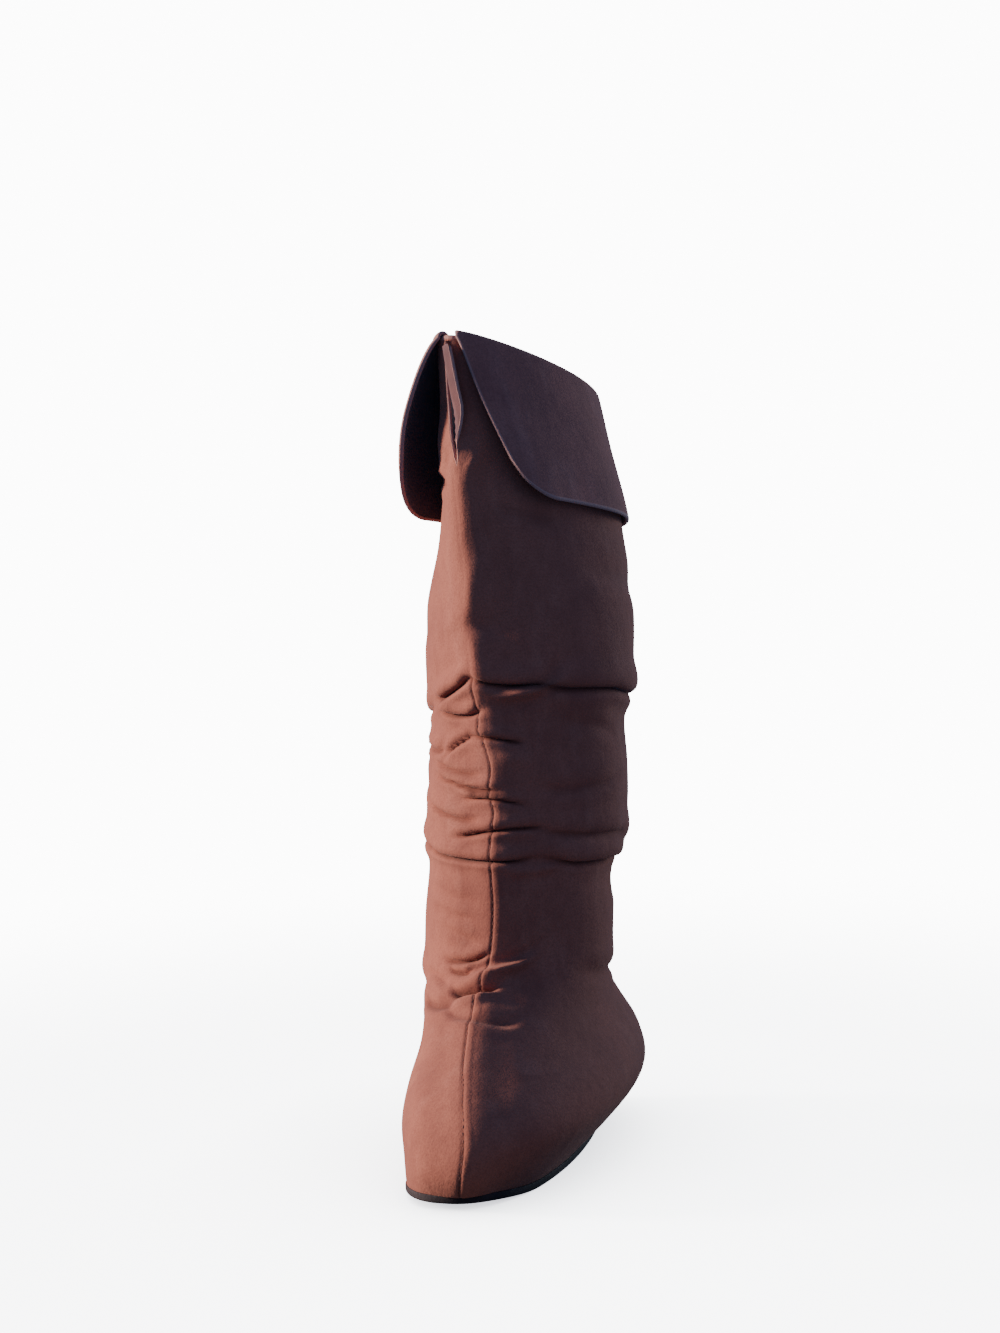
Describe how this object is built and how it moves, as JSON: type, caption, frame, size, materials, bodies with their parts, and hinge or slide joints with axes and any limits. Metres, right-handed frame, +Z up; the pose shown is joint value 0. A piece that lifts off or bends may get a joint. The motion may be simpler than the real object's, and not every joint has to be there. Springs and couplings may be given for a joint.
{
  "type": "knee-high boot",
  "caption": "Soft, slouching knee-high boot in brown suede with a flat thin sole, a raised seam down the front and a turned-down cuff that is split in front.",
  "frame": {"origin": "on the floor under the middle of the foot, at the sole's flat face", "axes": "+Z up, toe towards -Y, heel towards +Y, +X to the right of someone who looks at the toe"},
  "size_m": [0.1358, 0.284, 0.4987],
  "materials": {
    "sole": "matt, thin and flat",
    "lining": "matt, brushed",
    "suede": "napped suede, matt",
    "cuff_suede": "napped suede, matt"
  },
  "bodies": {
    "root": {"outsole": "sole", "insole": "lining", "upper": "suede", "cuff": "cuff_suede"}
  },
  "joints": []
}
